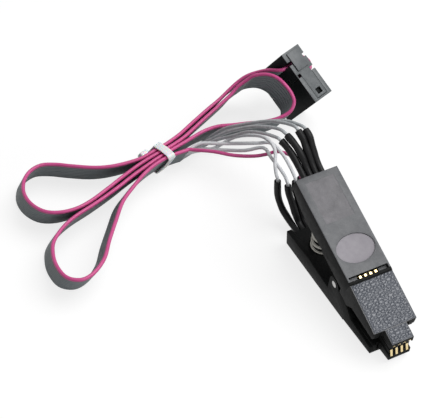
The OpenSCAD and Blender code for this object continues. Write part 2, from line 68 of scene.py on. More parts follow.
Point = tuple[float, float, float]
Route = tuple[Point, ...]
Line = list[Vector]
Piece = bpy.types.Object
Socket = bpy.types.NodeSocket
Tree = bpy.types.NodeTree
Draft = bmesh.types.BMesh

# Middle line of the ribbon, from the connector to where its conductors part
RIBBON_ROUTE: Route = (
    (-66.5, 11.1, 11.4), (-68.6, 9.2, 10), (-69.7, 6.9, 8.9), (-70.1, 4.7, 7.6), (-69.7, 2.2, 6.4),
    (-68.7, -1.1, 5.2), (-67.3, -5, 4.6), (-64.8, -10.2, 4.4), (-62.1, -15.2, 4.5), (-60, -20.2, 4.8),
    (-59.3, -23.2, 4.8), (-58.8, -27, 4.4), (-59.4, -32.8, 4.3), (-61.1, -37.6, 4.3), (-64.5, -42.7, 4.3),
    (-66.7, -45.7, 4.3), (-68.2, -49, 4.3), (-67.4, -52.1, 4.3), (-65, -54.5, 4.3), (-61.1, -56, 4.3),
    (-56.8, -55.8, 4.3), (-53, -54, 4.3), (-50.9, -51, 4.3), (-50.2, -47.1, 4.3), (-50.9, -43.1, 4.3),
    (-52.9, -38, 4.3), (-55.3, -32.5, 4.3), (-56.9, -27.9, 4.5), (-57.9, -23.6, 4.8), (-58.6, -20, 4.8),
    (-60.7, -14.5, 4.5), (-63.6, -8.7, 4.7), (-65.5, -3.9, 5.4), (-66.8, 1.1, 7), (-67.2, 3.6, 8.6),
    (-66.7, 5.9, 10.2), (-65.6, 7.5, 11.8), (-63.4, 9.8, 12.9), (-60.8, 11.4, 13), (-58, 12.2, 12.4),
    (-56, 12.8, 11), (-54.4, 12.7, 9.5), (-53.6, 11.5, 8), (-53.7, 9.9, 7), (-54.5, 7.4, 6),
    (-56, 4.7, 5.2), (-58, 1.2, 4.6), (-59.2, -1.7, 4.4), (-60.6, -5.2, 4.3), (-60.7, -8.9, 4.3),
    (-59.8, -12.8, 4.3), (-58.6, -16.6, 4.5), (-57.3, -20.4, 4.8), (-56.3, -24, 4.8), (-54.3, -30.4, 4.4),
    (-52.1, -35.7, 4.3), (-49.8, -41.9, 4.3), (-48, -47.7, 4.3), (-46, -51.7, 4.3), (-42.8, -55.3, 4.3),
    (-39.4, -56.9, 4.3), (-35.6, -57.6, 4.3), (-31.6, -57.2, 4.3), (-29.4, -55.7, 4.3),
    (-28.5, -53.4, 4.3), (-29.6, -50.3, 4.3), (-32.5, -47, 4.3), (-36.9, -44.1, 4.3), (-42.1, -40.3, 4.3),
    (-47.2, -36.4, 4.3), (-50.5, -32.4, 4.3), (-53.3, -28.3, 4.5), (-54.9, -24.4, 4.8),
    (-55.8, -20.7, 4.8), (-56.1, -16, 4.5),
)
# Each sleeve from where it leaves its jaw: four of the upper jaw, then four of the lower
SLEEVE_ROUTES: tuple[Route, ...] = (
    ((-2.7, 0, 1.3), (-4.6, -0.1, 2.5), (-6.7, -0.3, 3.4), (-8.6, -0.6, 4), (-9.5, -1, 4.5)),
    ((-2.1, 0, 1.3), (-3.9, -0.1, 3.1), (-5.5, -0.3, 4.2), (-7.2, -0.6, 5), (-9.3, -1, 5.6)),
    ((-2.2, 0, 1.5), (-3.9, 0, 3.2), (-5.2, 0, 4.5), (-6.5, 0, 5.8), (-8.2, -0.3, 7)),
    ((-2.5, 0, 1.4), (-3.9, 0, 2.8), (-4.8, 0, 4), (-6.2, 0.1, 5.8), (-8, 0, 6.6)),
    ((-2.2, 0, 0.1), (-4.4, -0.1, 0.6), (-7, -0.3, 1.8), (-8.3, -0.6, 4.8), (-8.4, -0.6, 9.4)),
    ((-2, 0, 0.6), (-3.1, -0.2, 2.4), (-4.3, -0.3, 4.3), (-5.7, -0.5, 6.8), (-6.1, -0.6, 9.2)),
    ((-2.1, 0, 0.5), (-3.4, 0, 2.2), (-4.8, 0, 4.4), (-6.2, 0, 6.9), (-6.5, 0.1, 9.2)),
    ((-2.2, 0, 0.4), (-3.8, 0.1, 2), (-5.4, 0.1, 4.2), (-6.6, 0.2, 6.8), (-6.9, 0.2, 9.4)),
)
# Each lead from where its conductor parts to its sleeve
LEAD_ROUTES: tuple[Route, ...] = (
    (
        (-52.6, -13.7, 8.2), (-48.9, -10.4, 9.2), (-45.3, -6.8, 9.3), (-42.4, -2.9, 9.7),
        (-40.6, -0.1, 10.6), (-39.6, 2, 11.3), (-36, 3.6, 12.2), (-31.8, 3.2, 12.9),
    ),
    (
        (-54, -11.7, 8.3), (-50.6, -7.9, 9.4), (-47.3, -4.1, 10.4), (-44.3, -0.9, 11.5),
        (-41.9, 1.6, 12.3), (-36.5, 1.9, 12.8), (-30.9, 1.2, 12.9),
    ),
    (
        (-53.8, -11.9, 6.8), (-49.7, -7.9, 8), (-45.1, -3.9, 9.8), (-41.9, -0.6, 11.8), (-37, -0.9, 12.6),
        (-33, -0.8, 12.5), (-29.8, -1.1, 12.7),
    ),
    (
        (-55.1, -12, 5.2), (-53.2, -8.6, 6), (-51.4, -3.5, 9), (-46.2, -0.3, 12.2), (-41.9, 0.6, 13.9),
        (-37.3, 0.2, 14.5), (-33.4, -1.8, 13.8), (-31.3, -2.6, 12.9),
    ),
    (
        (-56.5, -12, 4.2), (-54.2, -8.2, 7.5), (-48.4, -5.2, 12.5), (-43.3, -3.5, 17), (-36, -3.2, 22),
        (-30.4, -3.3, 25.4),
    ),
    (
        (-57.6, -12.2, 3.2), (-56.9, -8.8, 5.4), (-53.4, -4.9, 9.5), (-44.8, -2.8, 17),
        (-37.1, -2.2, 22.8), (-30.8, -1.9, 26.8),
    ),
    (
        (-58.6, -12.3, 2.1), (-58.3, -8.6, 4.5), (-55.5, -4.8, 8.8), (-49.2, -2.8, 14.3), (-39, -1, 22.5),
        (-32.4, -0.5, 27), (-28.6, 0.2, 28.8),
    ),
    (
        (-59.7, -12.2, 1.2), (-59.4, -8, 3.4), (-56.9, -4.2, 7.3), (-51.2, -1.9, 12.2), (-40.4, -0.2, 21),
        (-33.2, 1, 26.2), (-28.8, 1.8, 28.2),
    ),
)
# Sleeve of each conductor, counted from 0
LEAD_SLEEVES = (7, 6, 5, 4, 0, 1, 2, 3)
# Sides of a conductor's section that lie on its webs, which get a darker grey as painted shade
WEB_SIDES = (1, 7, 9, 15)
# Steps to the cells round one cell of the pebbled texture, and to itself
NEIGHBOURS = tuple(Vector((i, j, 0.0)) for i in (-1.0, 0.0, 1.0) for j in (-1.0, 0.0, 1.0))
WHITE = (1.0, 1.0, 1.0, 1.0)
# Distance of the points and angle in degrees of the triangles that are merged in a moulded part
MERGED = 0.000002
FLAT = 1.0
# Angle in degrees of the edges that are rounded
SHARP = 25.0
# Least length of such an edge and least width of its faces, in widths of the rounding
LONG = 3.0
WIDE = 0.9


class Side(Enum):
    """The jaw that a piece belongs to, as the sign of its side of the mid-plane."""

    UPPER = 1
    LOWER = -1

    @property
    def label(self) -> str:
        """First word of the names of this jaw's nodes."""
        return self.name.lower()

    @property
    def body(self) -> str:
        """Body that this jaw's pieces ride on."""
        return UPPER if self is Side.UPPER else LOWER


class Relief(Enum):
    """Shape of the fine relief in a finish."""

    GRAIN = "grain"
    DRAWN = "drawn"


# --- nodes and finishes ---


def fill_inputs(tree: Tree, node: bpy.types.Node, inputs: Mapping[str | int, object]) -> None:
    """Sets or links the inputs of a shader node.

    Args:
        tree: Node tree that the node is in.
        node: The node.
        inputs: A number, colour or other node's output for each input, by name or number.
    """
    for name, value in inputs.items():
        if isinstance(value, Socket):
            tree.links.new(value, node.inputs[name])
        else:
            node.inputs[name].default_value = value


def add_node(
    tree: Tree, kind: str, inputs: Mapping[str | int, object] | None = None
) -> bpy.types.Node:
    """Adds a shader node.

    Args:
        tree: Node tree that it is added to.
        kind: Its type, without the first word.
        inputs: What its inputs are set or linked to.

    Returns:
        The node.
    """
    node = tree.nodes.new(f"ShaderNode{kind}")
    fill_inputs(tree, node, inputs or {})
    return node


def add_math(tree: Tree, operation: str, a: Socket | float, b: Socket | float) -> Socket:
    """Adds a node that works out one number from two, and gives its output."""
    node = add_node(tree, "Math", {0: a, 1: b})
    node.operation = operation
    return node.outputs["Value"]


@dataclass(frozen=True)
class Finish:
    """One surface finish, as a procedural material.

    Attributes:
        name: Name of the material.
        slot: Slot of the record that it stands for.
        colour: Linear colour of most of the surface.
        tint: Linear colour that it drifts towards.
        patch: Size of the patches in which it drifts.
        rough: Lowest and highest roughness.
        relief: Shape of the fine relief.
        grain: Size of one grain of the relief.
        height: Height of the relief.
        metal: 1 for a bare metal, 0 otherwise.
        level: Specular level.
        glow: Weight of the light scattered inside.
        depth: Depth that this light reaches.
        stops: Strengths of the noise at which the colour is pure and the tint is.
        specks: Number of fine specks in the length of a patch.
        speckled: Share of the drift that comes from the specks.
        blotches: Number of patches of roughness in the length of one of colour.
        drawn: Length of a drawn streak in its widths.
    """

    name: str
    slot: str
    colour: Point
    tint: Point
    patch: float = 0.004
    rough: tuple[float, float] = (0.4, 0.5)
    relief: Relief = Relief.GRAIN
    grain: float = 0.0002
    height: float = 0.00001
    metal: float = 0.0
    level: float = 0.5
    glow: float = 0.0
    depth: float = 0.0006
    stops: tuple[float, float] = (0.36, 0.68)
    specks: float = 14.0
    speckled: float = 0.35
    blotches: float = 3.0
    drawn: float = 8.0

    def material(self) -> bpy.types.Material:
        """Builds the material once, and gives the same one afterwards.

        Returns:
            The material of this finish.
        """
        made = bpy.data.materials.get(self.name)
        if made is not None:
            return made
        made = bpy.data.materials.new(self.name)
        made.use_nodes = True
        made.diffuse_color = (*self.colour, 1.0)
        made.metallic = self.metal
        made.roughness = self.rough[0]
        tree = made.node_tree
        shader = next(node for node in tree.nodes if node.type == "BSDF_PRINCIPLED")
        fill_inputs(tree, shader, {
            "Metallic": self.metal, "Specular IOR Level": self.level,
            "Subsurface Weight": self.glow, "Subsurface Scale": self.depth,
            "Base Color": self._colour(tree), "Roughness": self._roughness(tree),
            "Normal": self._normal(tree),
        })
        return made

    def _noise(self, tree: Tree, size: float, detail: float) -> Socket:
        """Adds a noise with patches of one size and a number of octaves, and gives its strength."""
        place = add_node(tree, "TexCoord").outputs["Object"]
        inputs = {"Vector": place, "Scale": 1.0 / size, "Detail": detail, "Roughness": 0.6}
        return add_node(tree, "TexNoise", inputs).outputs["Fac"]

    def _colour(self, tree: Tree) -> Socket:
        """Adds the colour, which drifts to the tint in patches and in fine specks.

        Args:
            tree: Node tree of the material.

        Returns:
            The output with the colour.
        """
        patches = self._noise(tree, self.patch, detail=5.0)
        specks = self._noise(tree, self.patch / self.specks, detail=3.0)
        mixed = add_node(tree, "Mix", {"Factor": self.speckled, "A": patches, "B": specks})
        ramp = add_node(tree, "ValToRGB", {"Fac": mixed.outputs["Result"]})
        for i, colour in enumerate((self.colour, self.tint)):
            stop = ramp.color_ramp.elements[i]
            stop.position = self.stops[i]
            stop.color = (*colour, 1.0)
        return ramp.outputs["Color"]

    def _roughness(self, tree: Tree) -> Socket:
        """Adds the roughness, which drifts between its two ends, and gives its output."""
        drift = self._noise(tree, self.patch / self.blotches, detail=4.0)
        return add_node(tree, "MapRange", {
            "Value": drift, "From Min": 0.3, "From Max": 0.7,
            "To Min": self.rough[0], "To Max": self.rough[1],
        }).outputs["Result"]

    def _normal(self, tree: Tree) -> Socket:
        """Adds the fine relief as a bump.

        Args:
            tree: Node tree of the material.

        Returns:
            The output with the normal.
        """
        if self.relief is Relief.DRAWN:
            place = add_node(tree, "TexCoord").outputs["Object"]
            shrink = (1.0, self.drawn, self.drawn)
            turn = add_node(tree, "Mapping", {"Vector": place, "Scale": shrink})
            height = add_node(tree, "TexNoise", {
                "Vector": turn.outputs["Vector"], "Scale": 1.0 / (self.drawn * self.grain),
                "Detail": 3.0,
            }).outputs["Fac"]
        else:
            height = self._noise(tree, self.grain, detail=4.0)
        inputs = {"Strength": 1.0, "Distance": self.height, "Height": height}
        return add_node(tree, "Bump", inputs).outputs["Normal"]


SMOOTH_PLASTIC = Finish(
    "jaw_smooth", "jaw_plastic", (0.088, 0.093, 0.1), (0.142, 0.144, 0.152),
    rough=(0.4, 0.54), grain=0.00012, height=0.000012,
)
GRIP_PLASTIC = Finish(
    "jaw_grip", "jaw_plastic", (0.098, 0.096, 0.104), (0.152, 0.144, 0.158),
    patch=0.0035, rough=(0.36, 0.52), grain=0.00014, height=0.000014,
)
PEBBLED_PLASTIC = Finish(
    "jaw_pebbled", "jaw_plastic", (0.054, 0.062, 0.081), (0.072, 0.082, 0.104),
    patch=0.003, rough=(0.28, 0.4), grain=0.0001, height=0.000008, level=0.9,
)
# The same plastic as the top faces, darkened as painted shade on the flanks, inside and ledge
SHADED_SIDE_PLASTIC = Finish(
    "jaw_side_painted_shade", "jaw_plastic", (0.006, 0.0065, 0.0065), (0.01, 0.0105, 0.0105),
    rough=(0.5, 0.62), grain=0.00012, height=0.000008, level=0.1,
)
OVAL_PLASTIC = Finish(
    "jaw_oval", "jaw_plastic", (0.27, 0.252, 0.282), (0.34, 0.322, 0.35),
    patch=0.002, rough=(0.5, 0.6), grain=0.0001,
)
STEEL = Finish(
    "pin_steel", "steel", (0.72, 0.71, 0.69), (0.6, 0.6, 0.6), patch=0.0015,
    rough=(0.2, 0.32), relief=Relief.DRAWN, grain=0.00008, height=0.000003, metal=1.0,
)
SPRING_STEEL = Finish(
    "spring_wire", "spring_steel", (0.42, 0.41, 0.38), (0.3, 0.29, 0.26), patch=0.002,
    rough=(0.3, 0.42), relief=Relief.DRAWN, grain=0.00008, height=0.000003, metal=1.0,
)
GOLD = Finish(
    "contact_gold", "gold", (1.0, 0.84, 0.5), (0.96, 0.76, 0.38), patch=0.001,
    rough=(0.26, 0.4), relief=Relief.DRAWN, grain=0.00006, height=0.000002, metal=1.0,
)
SLEEVE_BLACK = Finish(
    "sleeve_shrink", "sleeve_black", (0.006, 0.006, 0.0065), (0.01, 0.01, 0.011),
    patch=0.002, rough=(0.36, 0.5), grain=0.0003, height=0.00002, level=0.22,
)
WIRE_GREY = Finish(
    "wire_grey_insulation", "wire_grey", (0.185, 0.216, 0.23), (0.235, 0.266, 0.28),
    rough=(0.34, 0.46), height=0.000006,
)
# The same grey insulation, darkened as painted shade in the grooves between conductors
WIRE_GROOVE_SHADE = Finish(
    "wire_groove_shade", "wire_grey", (0.07, 0.08, 0.086), (0.1, 0.112, 0.12),
    rough=(0.4, 0.55), height=0.000006, level=0.3,
)
# Lighter copies of the same grey insulation on the free leads: painted light, stronger on leads 1 to 4
WIRE_PAINTED_LIGHT = Finish(
    "wire_painted_light", "wire_grey", (0.78, 0.8, 0.83), (0.88, 0.89, 0.91),
    patch=0.003, rough=(0.24, 0.36), height=0.000006,
)
WIRE_HALF_PAINTED_LIGHT = Finish(
    "wire_half_painted_light", "wire_grey", (0.4, 0.43, 0.45), (0.62, 0.64, 0.66),
    rough=(0.24, 0.36), height=0.000006,
)
WIRE_PINK = Finish(
    "wire_pink_insulation", "wire_pink", (0.66, 0.075, 0.27), (0.72, 0.105, 0.33),
    rough=(0.34, 0.46), height=0.000006,
)
TIE_NYLON = Finish(
    "tie_nylon", "tie_white", (0.98, 0.98, 0.98), (0.95, 0.95, 0.95),
    patch=0.002, rough=(0.3, 0.42), height=0.000008, glow=0.3,
)
SOCKET_BLACK = Finish(
    "socket_plastic", "socket_black", (0.006, 0.0075, 0.008), (0.01, 0.012, 0.0125),
    patch=0.003, rough=(0.45, 0.58), grain=0.00012, height=0.000006, level=0.12,
)
# Painted light: the dark connector plastic in a lighter grey, for end faces that face the lamp
END_PAINTED_LIGHT = Finish(
    "cover_plastic", "cover_grey", (0.1, 0.11, 0.116), (0.15, 0.162, 0.168),
    patch=0.0012, rough=(0.36, 0.5), grain=0.00012, height=0.000008,
)


# --- lines and meshes ---


def metres(route: Route) -> Line:
    """Points of a route that is written in millimetres."""
    return [Vector([value / 1000.0 for value in point]) for point in route]


def spline_point(a: Vector, b: Vector, c: Vector, d: Vector, t: float) -> Vector:
    """Point at part t of the way from b to c, on the smooth curve through the four points."""
    bend = 2.0 * b + (c - a) * t + (2.0 * a - 5.0 * b + 4.0 * c - d) * t * t
    return (bend + (3.0 * b - a - 3.0 * c + d) * t * t * t) / 2.0


def smooth_line(points: Sequence[Vector], steps: int) -> Line:
    """Smooth line through the points.

    Args:
        points: Points that the line goes through.
        steps: Number of steps from each point to the next.

    Returns:
        The points of the smooth line.
    """
    last = len(points) - 1
    line = []
    for i in range(last):
        a = points[max(i - 1, 0)]
        d = points[min(i + 2, last)]
        for step in range(steps):
            line.append(spline_point(a, points[i], points[i + 1], d, step / steps))
    line.append(points[last].copy())
    return line


def heading(line: Sequence[Vector], i: int) -> Vector:
    """Unit direction of a line at its point number i."""
    return (line[min(i + 1, len(line) - 1)] - line[max(i - 1, 0)]).normalized()


def square_to(direction: Vector, along: Vector) -> Vector:
    """Unit direction that is square to a line and as close as can be to the one given."""
    return (direction - along * direction.dot(along)).normalized()


def length_of(line: Sequence[Vector]) -> float:
    """Length of a line, from its first point to its last."""
    return sum((b - a).length for a, b in zip(line, line[1:]))


def carried_sides(line: Sequence[Vector], first: Vector) -> Line:
    """Side directions that turn with a line without twisting about it.

    Args:
        line: The points of the line.
        first: Side direction at its first point.

    Returns:
        One unit side direction for each point.
    """
    sides = []
    side = first
    for i in range(len(line)):
        side = square_to(side, heading(line, i))
        sides.append(side)
    return sides


def swept(
    rings: Sequence[Line], change: int | None = None, webs: Sequence[int] = ()
) -> Draft:
    """Draws a closed skin through rings that all have the same number of points.

    Args:
        rings: The rings, in order.
        change: Number of the ring from which the second material is used.
        webs: Sides of a ring that have the third material, a painted groove shade, up to there.

    Returns:
        The skin, as a mesh under construction.
    """
    bm = bmesh.new()
    cap = bm.faces.new([bm.verts.new(point) for point in rings[0]])
    for i, ring in enumerate(rings[1:], 1):
        cap = bmesh.ops.extrude_discrete_faces(bm, faces=[cap])["faces"][0]
        for corner, point in zip(cap.verts, ring):
            corner.co = point
        if change is not None and i > change:
            for edge in cap.edges:
                for face in edge.link_faces:
                    face.material_index = 1
            continue
        for number in webs:
            for face in cap.loops[number].edge.link_faces:
                face.material_index = 2 if face is not cap else 0
    bmesh.ops.holes_fill(bm, edges=[e for e in bm.edges if e.is_boundary], sides=len(rings[0]))
    bmesh.ops.recalc_face_normals(bm, faces=bm.faces)
    return bm


def round_ring(centre: Vector, along: Vector, side: Vector, radius: float, count: int) -> Line:
    """Ring of points round a line.

    Args:
        centre: Centre of the ring.
        along: Direction of the line there.
        side: Direction of its first point.
        radius: Radius of the ring.
        count: Number of points.

    Returns:
        The points of the ring.
    """
    up = along.cross(side)
    turns = [math.tau * k / count for k in range(count)]
    return [centre + radius * (math.cos(a) * side + math.sin(a) * up) for a in turns]


def mesh_from(bm: Draft, name: str) -> bpy.types.Mesh:
    """Mesh made from one under construction, which is freed."""
    mesh = bpy.data.meshes.new(name)
    bm.to_mesh(mesh)
    bm.free()
    return mesh


def placed(name: str, data: bpy.types.ID) -> Piece:
    """Adds an object with the given data to the scene."""
    made = bpy.data.objects.new(name, data)
    bpy.context.scene.collection.objects.link(made)
    return made


def finished(bm: Draft, name: str, finishes: Sequence[Finish], smooth: float) -> Piece:
    """Turns a mesh under construction into a finished piece at the origin.

    Args:
        bm: The mesh, which is freed.
        name: Name of the piece.
        finishes: Finishes in the order of the faces' material numbers.
        smooth: Angle in degrees over which an edge stays sharp.

    Returns:
        The new object.
    """
    for face in bm.faces:
        face.smooth = True
    for edge in bm.edges:
        if len(edge.link_faces) == 2 and edge.calc_face_angle(0.0) > math.radians(smooth):
            edge.smooth = False
    mesh = mesh_from(bm, name)
    for finish in finishes:
        mesh.materials.append(finish.material())
    piece = placed(name, mesh)
    LOG.info("%s: %d faces", name, len(mesh.polygons))
    return piece


def round_edges(
    bm: Draft, edges: Sequence[bmesh.types.BMEdge], width: float, segments: int, clamp: bool
) -> None:
    """Rounds edges, with a number of faces across each, and narrower where two meet if clamped."""
    bmesh.ops.bevel(
        bm, geom=edges, offset=width, offset_type="OFFSET", segments=segments, profile=0.5,
        affect="EDGES", material=-1, clamp_overlap=clamp,
    )


# --- places ---


@dataclass(frozen=True)
class JawFrame:
    """Frame that both jaws are drawn in: its origin is on the mid-plane above the hinge pin.

    Attributes:
        rear_len: Hinge pin back to the outer rear corner.
        rear_h: Mid-plane out to the rear corner.
        step_len: Hinge pin forward to the step of the front panel.
        step_h: Mid-plane out to the step.
        panel_drop: Drop of the front panel below the arm.
        shoulder_len: Hinge pin forward to the shoulder.
        shoulder_h: Mid-plane out to the shoulder.
        nose_len: Hinge pin forward to the nose tip.
        nose_h: Mid-plane out to the outer edge of the nose tip.
        nose_w: Width of the nose.
        jaw_w: Width of the jaws.
    """

    rear_len: float = 0.02064
    rear_h: float = 0.01218
    step_len: float = 0.00554
    step_h: float = 0.00703
    panel_drop: float = 0.00025
    shoulder_len: float = 0.0168
    shoulder_h: float = 0.00399
    nose_len: float = 0.02025
    nose_h: float = 0.0032
    nose_w: float = 0.00535
    jaw_w: float = 0.0104

    @property
    def slope(self) -> float:
        """Angle of the arm to the mid-plane, in radians."""
        return math.atan2(self.rear_h - self.step_h, self.rear_len + self.step_len)

    def place(self, x: float, y: float, z: float) -> Vector:
        """Place of a point of the jaw frame.

        Args:
            x: Forward from the hinge pin.
            y: Across.
            z: Up from the mid-plane.

        Returns:
            The point in the row frame.
        """
        c, s = math.cos(self.slope), math.sin(self.slope)
        lift = self.rear_h * c - self.rear_len * s
        back = -self.rear_len * c - self.rear_h * s
        front = self.nose_len * c + self.nose_h * s
        return Vector((x * c + z * s - (back + front) / 2.0, y, lift - x * s + z * c))

    def arm_point(self, ahead: float, depth: float, y: float, side: Side) -> Vector:
        """Point below the outer face of an arm.

        Args:
            ahead: Forward from the rear corner along the arm.
            depth: Depth below the outer face.
            y: Across.
            side: The jaw.

        Returns:
            The point in the row frame.
        """
        c, s = math.cos(self.slope), math.sin(self.slope)
        height = self.rear_h - ahead * s - depth * c
        return self.place(-self.rear_len + ahead * c - depth * s, y, side.value * height)


@dataclass(frozen=True)
class ConnectorFrame:
    """Frame of the connector, which leans back on its lower edge.

    Attributes:
        corner: Its lower near corner on the table.
        lean: Angle of its rows above the table, in degrees.
        turn: Its turn about the vertical, in degrees.
        length: Length along its rows.
        width: Thickness across its two rows.
        socket_h: Height of the socket body.
        cover_h: Height of the cover.
        cable_t: Thickness of the cable in it.
    """

    corner: Point = (-0.0592, 0.0153, 0.0)
    lean: float = 52.0
    turn: float = 20.0
    length: float = 0.0148
    width: float = 0.006
    socket_h: float = 0.0072
    cover_h: float = 0.0029
    cable_t: float = 0.0009

    @property
    def matrix(self) -> Matrix:
        """Matrix from this frame to the row frame."""
        turned = Matrix.Rotation(math.radians(self.turn), 4, "Z")
        leaned = Matrix.Rotation(math.radians(-self.lean), 4, "Y")
        return Matrix.Translation(self.corner) @ turned @ leaned

    @property
    def row(self) -> Vector:
        """Direction along its rows of holes."""
        return self.matrix.to_3x3() @ Vector((1.0, 0.0, 0.0))

    def fold_line(self) -> Line:
        """Middle line of the cable in the connector: over the socket, then back over the cover."""
        low = self.socket_h + self.cable_t / 2.0
        high = self.socket_h + self.cable_t + self.cover_h + self.cable_t / 2.0
        w = self.width
        route = (
            (0.0004, low), (w / 2.0, low), (w + 0.0003, low), (w + 0.0013, low + 0.0008),
            (w + 0.0017, (low + high) / 2.0), (w + 0.0013, high - 0.0008), (w + 0.0003, high),
            (w / 2.0, high), (-0.0004, high),
        )
        return [self.matrix @ Vector((self.length / 2.0, y, z)) for y, z in route]


# --- cable ---


@dataclass(frozen=True)
class Sleeves:
    """The eight shrink sleeves at the backs of the jaws.

    Attributes:
        jaws: Frame of the jaws.
        pitch: Spacing of the sleeves at the jaw.
        grip: Length held inside the jaw.
        leave: Gap from the jaw's rear corner to where the free routes start.
        depth: Depth of their axes below the outer face.
        outer: Outer radius.
        inner: Inner radius at the free end.
        mouth: Length of one step down the free end's bore.
        swell: Share by which the skin is fuller over the solder joint, where it begins to be, and
            over which part of the length it becomes so.
        waist: Depth, place and length of the narrow waist past the joint.
        lip: Depth and length of the shrunken lip at the free end.
        ripple: Height of the ripples in the skin.
        spread: Steps of the ripples in a metre, round the skin and from sleeve to sleeve.
    """

    jaws: JawFrame
    pitch: float = 0.00147
    grip: float = 0.0035
    leave: float = 0.0003
    depth: float = 0.0022
    outer: float = 0.000725
    inner: float = 0.00053
    mouth: float = 0.0012
    swell: Point = (0.2, 0.35, 0.25)
    waist: Point = (0.08, 0.78, 0.08)
    lip: tuple[float, float] = (0.06, 0.07)
    ripple: float = 0.03
    spread: Point = (900.0, 0.8, 7.0)

    def side_of(self, i: int) -> Side:
        """Jaw that sleeve i, counted from 0, belongs to."""
        return Side.UPPER if i < 4 else Side.LOWER

    def line(self, i: int, steps: int = 3) -> Line:
        """Line of one sleeve, from inside its jaw to its free end.

        Args:
            i: Number of the sleeve, counted from 0.
            steps: Number of steps between two points of its route.

        Returns:
            The points of the line.
        """
        side = self.side_of(i)
        y = (i % 4 - 1.5) * self.pitch
        leave = self.jaws.arm_point(-self.leave, self.depth, y, side)
        held = [self.jaws.arm_point(s, self.depth, y, side) for s in (self.grip, self.grip / 3.0)]
        return smooth_line([*held, leave, *(leave + p for p in metres(SLEEVE_ROUTES[i]))], steps)

    def make(self) -> None:
        """Builds the eight sleeves and lets each ride on its jaw."""
        for i in range(8):
            side = self.side_of(i)
            piece = self._sleeve(i, f"{side.label}_shrink_sleeve_{i % 4 + 1}")
            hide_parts(f"{side.label}_sleeve_{i % 4 + 1}")
            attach(piece, side.body)

    def _sleeve(self, i: int, name: str) -> Piece:
        """Builds one sleeve as a tube whose skin is a little uneven where it shrank.

        Args:
            i: Number of the sleeve, counted from 0.
            name: Name of the piece.

        Returns:
            The finished sleeve.
        """
        line = self.line(i, 6)
        sides = carried_sides(line, Vector((0.0, 1.0, 0.0)))
        last = len(line) - 1
        count = 14
        rings = []
        for j, centre in enumerate(line):
            ring = round_ring(centre, heading(line, j), sides[j], 1.0, count)
            rings.append([self._uneven(centre, point, i, j / last) for point in ring])
        along = heading(line, last)
        for step in range(3):
            centre = line[last] - along * (step * self.mouth)
            rings.append(round_ring(centre, along, sides[last], self.inner, count))
        return finished(swept(rings), name, [SLEEVE_BLACK], smooth=60.0)

    def _uneven(self, centre: Vector, point: Vector, i: int, t: float) -> Vector:
        """Point of the outer skin: it is fuller over the solder joint and has shallow ripples.

        Args:
            centre: Centre of the ring.
            point: Point of the ring at a radius of 1.
            i: Number of the sleeve, which shifts the ripples.
            t: Part of the way to the free end.

        Returns:
            The point of the skin.
        """
        out = point - centre
        shift = Vector((0.0, 0.0, self.spread[2] * i))
        ripple = noise.noise(centre * self.spread[0] + out * self.spread[1] + shift)
        swell = self.swell[0] * min(1.0, max(0.0, (t - self.swell[1]) / self.swell[2]))
        waist = self.waist[0] * math.exp(-((t - self.waist[1]) / self.waist[2]) ** 2)
        lip = self.lip[0] * max(0.0, 1.0 - (1.0 - t) / self.lip[1])
        share = 1.0 - self.ripple / 2.0 + swell - waist - lip + self.ripple * ripple
        return centre + out * self.outer * share


